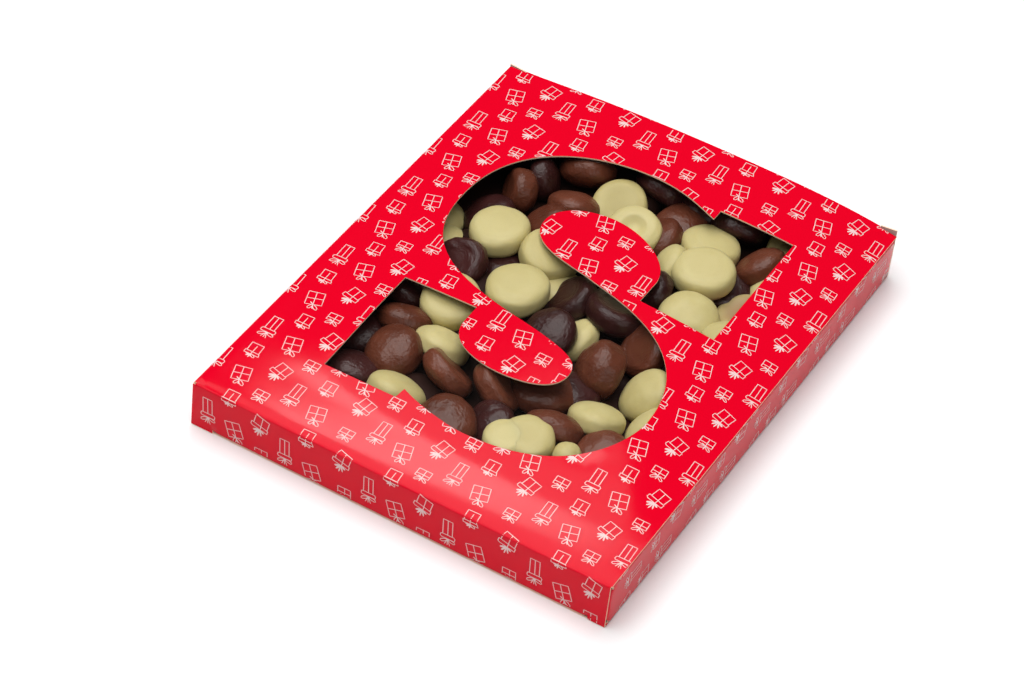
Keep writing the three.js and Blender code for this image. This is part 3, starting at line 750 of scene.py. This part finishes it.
# Each sweet: x, y, z of its middle, how far its axis leans from upright and which way, and its
# radius. Where they aren't usual, also its plumpness, how rough it is, and where its coating is
# scuffed: heading, height and size of the patch. One with a dish lies with its flat side up, and
# its flat side is that deep in the middle, as wide as its hollow, and may have a small nub.
WHITE_SWEETS = [
    (-36.5, 26.5, 11.1, 4, 200, 10.4, dict(dish=0.05, nub=0.3, scuff=(-129, -5, 0.17))),
    (-17, 5, 11, 3, 200, 10.7, dict(dish=0.1)),
    (-17.5, 26.5, 10.4, 12, 0, 10.2, dict(dish=0.1)),
    (-12.1, 65.1, 7.6, 24, 300, 9.6, dict(dish=0.5, hollow=0.6)),
    (-1, 54.2, 10.2, 18, 280, 9.2, dict(dish=2.4, hollow=0.36)),
    (23, 64, 7.8, 10, 90, 10.4, dict(dish=-0.6)),
    (28.5, 48.5, 11.1, 4, 250, 10.7, dict(dish=0.1, scuff=(-40, -20, 0.35))),
    (15.5, 47.5, 8.8, 62, 195, 8.5),
    (33.8, 28.6, 10, 12, 300, 10.2),
    (46, 81, 6.6, 16, 0, 9.5),
    (50, 59.5, 8.2, 25, 190, 10),
    (47.5, 41.7, 6.8, 18, 180, 9.8, dict(plump=0.5, dish=1.7, scuff=(0, 90, 0.7))),
    (51, 26, 10.8, 15, 100, 10),
    (-60, 26, 6.3, 8, 0, 9.4),
    (-51, 15.5, 6.3, 8, 60, 9.6),
    (-32, -11.5, 10.5, 12, 290, 10.5, dict(dish=0.3)),
    (-25.5, -27.7, 8.4, 35, 85, 9.6, dict(scuff=(-60, -25, 0.5))),
    (-25.5, -55, 9, 38, 80, 10, dict(scuff=(-100, -30, 0.6))),
    (32, -28.5, 8.9, 30, 105, 9.4),
    (39.7, -10, 8.6, 40, 215, 9.7),
    (47.5, -23.5, 9, 50, 180, 9.2),
    (15.5, -57, 11.4, 6, 260, 7.6, dict(plump=0.64, dish=0.1)),
    (20.5, -53, 11, 6, 260, 9, dict(plump=0.6, dish=0.1)),
    (33.5, -51, 11, 10, 260, 4.8, dict(plump=0.85)),
    (7.4, 1.8, 5.6, 40, 200, 8),
    (-8, 18.6, 5.9, 8, 0, 9.2, dict(plump=0.5)),
]
MILK_SWEETS = [
    (-42.4, 51, 8.8, 72, 215, 8, dict(plump=0.66, dish=0.8)),
    (-29, 73, 8.6, 42, 115, 9.8, dict(dish=0.9)),
    (-24.5, 56.5, 8.2, 35, 100, 9.6),
    (-28, 42, 8.6, 40, 200, 8.8),
    (6, 58.5, 8, 40, 200, 8.8, dict(plump=0.5)),
    (40.3, 66, 8.8, 45, 170, 9.4),
    (20.9, -8.4, 9.6, 64, 205, 9.6, dict(plump=0.72, rough=1.3)),
    (30, 7.5, 8.8, 45, 230, 9.3, dict(dish=0.5, rough=2.0)),
    (11.5, -25, 7, 10, 90, 11.4, dict(plump=0.46)),
    (-1, -36, 8.9, 50, 42, 9.3, dict(plump=0.5, dish=0.3)),
    (23, -39.5, 8.8, 45, 100, 9.6),
    (41.8, -42.4, 8.5, 22, 260, 9.5),
    (-17, -39.5, 8.9, 50, 60, 9.3, dict(plump=0.5, dish=0.3, rough=1.5)),
    (-5, -60, 9.8, 18, 270, 10.5, dict(rough=1.5)),
    (-36, -41, 9.8, 22, 230, 9.6, dict(plump=0.6)),
    (-41.5, -24.5, 8.4, 40, 105, 9.4),
    (9, 70, 6.8, 16, 270, 9.2),
]
DARK_SWEETS = [
    (-46, 35.5, 7.6, 30, 200, 9.4),
    (-40, 7.5, 9, 36, 250, 9.4, dict(dish=0.4, hollow=0.75, rough=3)),
    (-38.9, 61.9, 8.8, 75, 25, 7.8, dict(plump=0.6)),
    (-4.5, 82, 8.7, 45, 75, 9.6, dict(plump=0.5)),
    (-1.5, 14.5, 8.2, 40, 200, 9.2, dict(plump=0.52, dish=0.3)),
    (13.8, 16.2, 9.4, 20, 80, 11, dict(dish=1.2)),
    (0.5, -4, 10, 25, 250, 8.8),
    (16.7, 33, 8.6, 50, 200, 9),
    (36, 50.4, 5.8, 8, 0, 9.4, dict(plump=0.48, dish=0.3)),
    (26, 79.5, 8.7, 50, 100, 9.3, dict(plump=0.5)),
    (6, -51.5, 8.6, 40, 235, 8.8, dict(rough=2.4)),
    (-28, 17.5, 5.6, 0, 0, 9.4, dict(plump=0.48)),
    (-43, -53, 7.6, 22, 90, 9.4),
    (-48, -10.5, 7.4, 28, 60, 9.4),
    (12, 82, 7.4, 24, 60, 9, dict(plump=0.52)),
    (-50, -35, 6, 8, 60, 9.4, dict(plump=0.5)),
    (19, -20, 6.2, 10, 60, 9, dict(plump=0.48)),
]


def unit_ball(around, rings):
    """Directions of a ball's points, from the top pole down ring by ring to the bottom pole, and
    its faces: triangles at the poles and quads between."""
    polar = np.linspace(0, math.pi, rings + 1)[1:-1, None]
    turn = np.linspace(0, 2 * math.pi, around, endpoint=False)[None]
    ring = np.stack([
        np.sin(polar) * np.cos(turn), np.sin(polar) * np.sin(turn), np.cos(polar) + 0 * turn
    ], -1).reshape(-1, 3)
    points = np.concatenate([[[0, 0, 1]], ring, [[0, 0, -1]]])
    a = np.arange(around)
    b = (a + 1) % around
    top = np.stack([0 * a, 1 + a, 1 + b], 1)
    last = len(points) - 1
    bottom = np.stack([0 * a + last, last - around + b, last - around + a], 1)
    rows = (np.arange(rings - 2) * around)[:, None]
    quads = 1 + np.stack([rows + a, rows + around + a, rows + around + b, rows + b], -1)
    return points, [top, quads.reshape(-1, 4), bottom]


def lumps(points, size, seed):
    """Smooth unevenness on the unit ball: eight waves in random directions and phases, whose
    lengths spread about `size`, summed and scaled to about one."""
    random = np.random.default_rng(seed)
    ways = random.normal(size=(8, 3))
    ways *= (random.uniform(0.6, 1.6, 8) / size / np.linalg.norm(ways, axis=1))[:, None]
    phases = random.uniform(0, 2 * math.pi, 8)
    return np.sin(points @ ways.T + phases).sum(1) / 4


def sweet_body(place, ball, seed, unevenness=1.0):
    """One sweet at its place, and how scuffed it is at each point. Its section is two halves of
    superellipses, one domed and one flat, its outline is a little out of round, and lumps push its
    surface in and out. It is raised with the heap, and kept between the board and the film."""
    x, y, z, lean, facing, radius, *traits = place
    traits = traits[0] if traits else {}
    height = radius * traits.get("plump", PLUMP)
    flat_up = "dish" in traits
    rise = float(lid_rise(np.array(x), np.array(y))) * z / HEAP_HEIGHT
    out = np.linalg.norm(ball[:, :2], axis=1)
    upper = ball[:, 2] > 0
    power = 2 / np.where(upper == flat_up, FLAT, DOME)
    spread = np.where(out > EDGE, out ** power / np.maximum(out, EDGE), 0)
    dish = traits.get("dish", 0) * np.exp(-((out ** power / traits.get("hollow", 0.62)) ** 4)) * upper
    dish -= traits.get("nub", 0) * np.exp(-((out ** power / 0.12) ** 2)) * upper
    body = np.stack([
        ball[:, 0] * spread * radius, ball[:, 1] * spread * radius,
        np.sign(ball[:, 2]) * np.abs(ball[:, 2]) ** power * height - dish,
    ], 1)
    random = np.random.default_rng(seed)
    turn = np.arctan2(ball[:, 1], ball[:, 0])
    for wave, depth in ((2, 0.022), (3, 0.015), (5, 0.006)):
        body[:, :2] *= 1 + (depth * np.sin(wave * turn + random.uniform(0, 6.3)))[:, None]
    unevenness *= traits.get("rough", 1)
    swell = 0.16 * lumps(ball, 0.45, seed)
    swell += (0.1 * lumps(ball, 0.13, seed + 1) + 0.05 * lumps(ball, 0.06, seed + 2)) * unevenness
    body += ball * swell[:, None]
    lean, facing = math.radians(lean), math.radians(facing)
    turned_over = np.array(Matrix.Rotation(facing, 3, "Z") @ Matrix.Rotation(lean, 3, "Y"))
    body = body @ turned_over.T
    heading, lift, size = traits.get("scuff", (0, 0, 0.01))
    heading, lift = math.radians(heading), math.radians(lift)
    there = [
        math.cos(heading) * math.cos(lift), math.sin(heading) * math.cos(lift), math.sin(lift)
    ]
    away = np.linalg.norm(ball @ turned_over.T - there, axis=1)
    place = np.array([x + SLIDE[0] * rise, y + SLIDE[1] * rise])
    over = place + body[:, :2]
    room = HEIGHT - CARD - PLY_GAP - FILM_GAP + lid_rise(over[:, 0], over[:, 1]) - body[:, 2]
    z = max(CARD + FLOOR_GAP - body[:, 2].min(), min(z + rise, room.min()))
    return body + np.array([*place, z]), np.exp(-((away / size) ** 2))


BALL, BALL_FACES = unit_ball(AROUND, RINGS)


def sweets_object(name, places, first_seed, unevenness):
    """Sweets of one kind as one object. Attributes hold each sweet's own shade, the points of its
    ball at a place of its own for its patches, and how scuffed it is."""
    made_bodies = [
        sweet_body(place, BALL, first_seed + 10 * i, unevenness) for i, place in enumerate(places)
    ]
    faces = [
        group + start for start in np.arange(len(places)) * len(BALL) for group in BALL_FACES
    ]
    made = mesh_object(name, np.concatenate([body for body, _ in made_bodies]), faces)
    made.data.shade_smooth()
    random = np.random.default_rng(first_seed)
    shade = random.uniform(-1, 1, len(places))
    places_of_own = random.uniform(-9, 9, (len(places), 3))
    own = BALL[None] + places_of_own[:, None]
    attributes = made.data.attributes
    attributes.new("shade", "FLOAT", "POINT").data.foreach_set("value", shade.repeat(len(BALL)))
    attributes.new("own", "FLOAT_VECTOR", "POINT").data.foreach_set("vector", own.ravel())
    scuff = np.concatenate([scuffed for _, scuffed in made_bodies])
    attributes.new("scuff", "FLOAT", "POINT").data.foreach_set("value", scuff)
    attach(made, "root")
    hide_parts("sweets")
    return made


def chocolate(name, deep, pale, worn, roughness, grain, softness=0.0):
    """Coating whose colour runs from `deep` to `pale` with each sweet's own shade and with soft
    patches on it, and is `worn` where it is scuffed. Its surface is finely uneven."""
    made = material(name, deep, roughness, 1.36)
    shader = shader_of(made)
    nodes, links = made.node_tree.nodes, made.node_tree.links
    own, shade, scuff = (nodes.new("ShaderNodeAttribute") for _ in range(3))
    own.attribute_name, shade.attribute_name, scuff.attribute_name = "own", "shade", "scuff"
    patches = nodes.new("ShaderNodeTexNoise")
    patches.inputs["Scale"].default_value = 1.6
    patches.inputs["Detail"].default_value = 4
    links.new(own.outputs["Vector"], patches.inputs["Vector"])
    spread = nodes.new("ShaderNodeMath")
    spread.operation = "MULTIPLY_ADD"
    spread.inputs[1].default_value = 0.28
    links.new(shade.outputs["Fac"], spread.inputs[0])
    links.new(patches.outputs["Fac"], spread.inputs[2])
    mix = nodes.new("ShaderNodeMix")
    mix.data_type = "RGBA"
    mix.inputs["A"].default_value = (*deep, 1)
    mix.inputs["B"].default_value = (*pale, 1)
    links.new(spread.outputs["Value"], mix.inputs["Factor"])
    rubbed = nodes.new("ShaderNodeMix")
    rubbed.data_type = "RGBA"
    rubbed.inputs["B"].default_value = (*worn, 1)
    links.new(mix.outputs["Result"], rubbed.inputs["A"])
    links.new(scuff.outputs["Fac"], rubbed.inputs["Factor"])
    links.new(rubbed.outputs["Result"], shader.inputs["Base Color"])
    fine = nodes.new("ShaderNodeTexNoise")
    fine.inputs["Scale"].default_value = 7
    fine.inputs["Detail"].default_value = 3
    links.new(own.outputs["Vector"], fine.inputs["Vector"])
    bump = nodes.new("ShaderNodeBump")
    bump.inputs["Strength"].default_value = 0.6
    bump.inputs["Distance"].default_value = grain * MM
    links.new(fine.outputs["Fac"], bump.inputs["Height"])
    links.new(bump.outputs["Normal"], shader.inputs["Normal"])
    if softness:
        shader.inputs["Subsurface Weight"].default_value = softness
        shader.inputs["Subsurface Radius"].default_value = (1, 0.7, 0.35)
        shader.inputs["Subsurface Scale"].default_value = 1.5 * MM
    return made


white_sweets = sweets_object("white_sweets", WHITE_SWEETS, 100, 0.8)
white_sweets.data.materials.append(chocolate(
    "white_chocolate", (0.435, 0.36, 0.143), (0.575, 0.5, 0.24), (0.30, 0.16, 0.10), 0.42, 0.06, 0.15
))
milk_sweets = sweets_object("milk_sweets", MILK_SWEETS, 1100, 1.2)
milk_sweets.data.materials.append(chocolate(
    "milk_chocolate", (0.07, 0.018, 0.009), (0.17, 0.05, 0.027), (0.2, 0.1, 0.06), 0.28, 0.5
))
dark_sweets = sweets_object("dark_sweets", DARK_SWEETS, 2100, 1.0)
dark_sweets.data.materials.append(chocolate(
    "dark_chocolate", (0.02, 0.005, 0.0045), (0.055, 0.015, 0.014), (0.1, 0.05, 0.04), 0.28, 0.5
))

# ------------------------------------------------------------------------------------------------
# What lies under them: a lower layer of sweets, and below it a plain core in place of the sweets
# that can't be seen. It keeps the light from reaching the base between the sweets.
# ------------------------------------------------------------------------------------------------
LOWER_RADIUS = 9.6
LOWER_PLUMP = 0.46
LOWER_PITCH = 20.6
LOWER_HEIGHT = 5.3
LOWER_LEAN = 14  # degrees, the most that a sweet of the lower layer leans
LOW = 9  # a sweet whose middle is lower than this takes a place in the lower layer
CORE_TOP = 5.2
CORE_INSET = 3
rng = np.random.default_rng(7)
SHOWING = [*WHITE_SWEETS, *MILK_SWEETS, *DARK_SWEETS]
low_ball, low_faces = unit_ball(28, 14)
lower = []
row_step = LOWER_PITCH * math.sqrt(3) / 2
for row, y in enumerate(np.arange(WINDOW[:, 1].min(), WINDOW[:, 1].max() + LOWER_RADIUS, row_step)):
    start = WINDOW[:, 0].min() + (row % 2) * LOWER_PITCH / 2
    for x in np.arange(start, WINDOW[:, 0].max() + LOWER_RADIUS, LOWER_PITCH):
        near = [math.hypot(one[0] - x, one[1] - y) for one in SHOWING if one[2] < LOW]
        if min(near) > LOWER_RADIUS:
            lean, facing = rng.uniform(0, LOWER_LEAN), rng.uniform(0, 360)
            lower.append((x, y, LOWER_HEIGHT, lean, facing, LOWER_RADIUS, dict(plump=LOWER_PLUMP)))
bodies = [sweet_body(place, low_ball, 3100 + i)[0] for i, place in enumerate(lower)]
core_x, core_y = HALF_WIDTH - CARD - CORE_INSET, HALF_LENGTH - CARD - CORE_INSET
core_low = 2 * CARD + FLOOR_GAP
core = np.array([
    (x, y, z) for z in (core_low, CORE_TOP) for y in (-core_y, core_y) for x in (-core_x, core_x)
])
core_faces = np.array([
    (0, 2, 3, 1), (4, 5, 7, 6), (0, 1, 5, 4), (2, 6, 7, 3), (0, 4, 6, 2), (1, 3, 7, 5)
])
bed_points = np.concatenate([core, *bodies])
bed_faces = [core_faces]
for i in range(len(bodies)):
    bed_faces += [group + len(core) + i * len(low_ball) for group in low_faces]
bed = mesh_object("lower_sweets", bed_points, bed_faces)
bed.data.shade_smooth()
bed.data.set_sharp_from_angle(angle=math.radians(50))
# The lower layer and the core share one near-black colour, dark chocolate's darkest, whatever kind
# the hidden sweets are: partly dark chocolate's own colour, partly painted shade in the gaps between
# the sweets above.
bed.data.materials.append(material("lower_chocolate_and_painted_shade", (0.02, 0.007, 0.005), 0.6, 1.2))
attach(bed, "root")
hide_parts("sweets")

# ------------------------------------------------------------------------------------------------
# The table: a wide pale sheet, matt and without a seam. The carton only lies on it, and the photo
# shows nothing of it but white.
# ------------------------------------------------------------------------------------------------
TABLE = 3000  # half its width
table = mesh_object(
    "table", [(*corner, 0) for corner in rectangle(-TABLE, TABLE, -TABLE, TABLE)], [[(0, 1, 2, 3)]]
)
table.data.materials.append(material("table_top", (0.86, 0.86, 0.86), 0.7))

# ------------------------------------------------------------------------------------------------
# The light and the camera: three softboxes one above another, behind and to the left, which show
# in the glossy lid near its front fold, a broad soft one overhead, a weak fill for the right wall,
# and a dim room. The camera stands where the photo was taken.
# ------------------------------------------------------------------------------------------------


def softbox(name, azimuth, elevation, distance, width, height, watts):
    """A rectangular light that faces the carton's middle from a direction: azimuth in degrees
    from +Y towards -X, elevation above the table."""
    a, e = math.radians(azimuth), math.radians(elevation)
    back = np.array([-math.sin(a) * math.cos(e), math.cos(a) * math.cos(e), math.sin(e)])
    across = np.cross([0, 0, 1], back)
    across /= np.linalg.norm(across)
    up = np.cross(back, across)
    lamp = bpy.data.lights.new(name, "AREA")
    lamp.shape = "RECTANGLE"
    lamp.size = width
    lamp.size_y = height
    lamp.energy = watts
    made = bpy.data.objects.new(name, lamp)
    turn = np.eye(4)
    turn[:3, :3] = np.stack([across, up, back], 1)
    turn[:3, 3] = back * distance
    made.matrix_world = Matrix(turn.tolist())
    bpy.context.scene.collection.objects.link(made)


softbox("strip", 27.6, 46.6, 2.2, 0.38, 0.09, 1.27)
softbox("strip_above", 31.0, 52.2, 2.2, 0.487, 0.36, 1.65)
softbox("strip_high", 31, 60.5, 2.2, 0.6, 0.2, 3)
softbox("overhead", 110, 79, 2.6, 3.0, 3.0, 109)
softbox("fill", 235, 30, 2.4, 1.6, 1.0, 10)

world = bpy.data.worlds.new("room")
bpy.context.scene.world = world
world.use_nodes = True
world.node_tree.nodes["Background"].inputs["Color"].default_value = (1, 1, 1, 1)
world.node_tree.nodes["Background"].inputs["Strength"].default_value = 0.04

CAMERA_PLACE = (0.361709, -0.783215, 0.800410)
CAMERA_AZIMUTH = 25.6514
CAMERA_ELEVATION = 42.8397
CAMERA_ROLL = 7.1177
LENS = 127.49
az, el, roll = (math.radians(angle) for angle in (CAMERA_AZIMUTH, CAMERA_ELEVATION, CAMERA_ROLL))
camera_back = np.array([
    math.sin(az) * math.cos(el), -math.cos(az) * math.cos(el), math.sin(el)
])
level = np.cross([0, 0, 1], camera_back)
level /= np.linalg.norm(level)
upright = np.cross(camera_back, level)
camera_turn = np.eye(4)
camera_turn[:3, 0] = math.cos(roll) * level + math.sin(roll) * upright
camera_turn[:3, 1] = math.cos(roll) * upright - math.sin(roll) * level
camera_turn[:3, 2] = camera_back
camera_turn[:3, 3] = CAMERA_PLACE
lens = bpy.data.cameras.new("camera")
lens.lens = LENS
lens.sensor_width = 36
camera = bpy.data.objects.new("camera", lens)
camera.matrix_world = Matrix(camera_turn.tolist())
bpy.context.scene.collection.objects.link(camera)
bpy.context.scene.camera = camera
bpy.context.scene.view_settings.view_transform = "Standard"
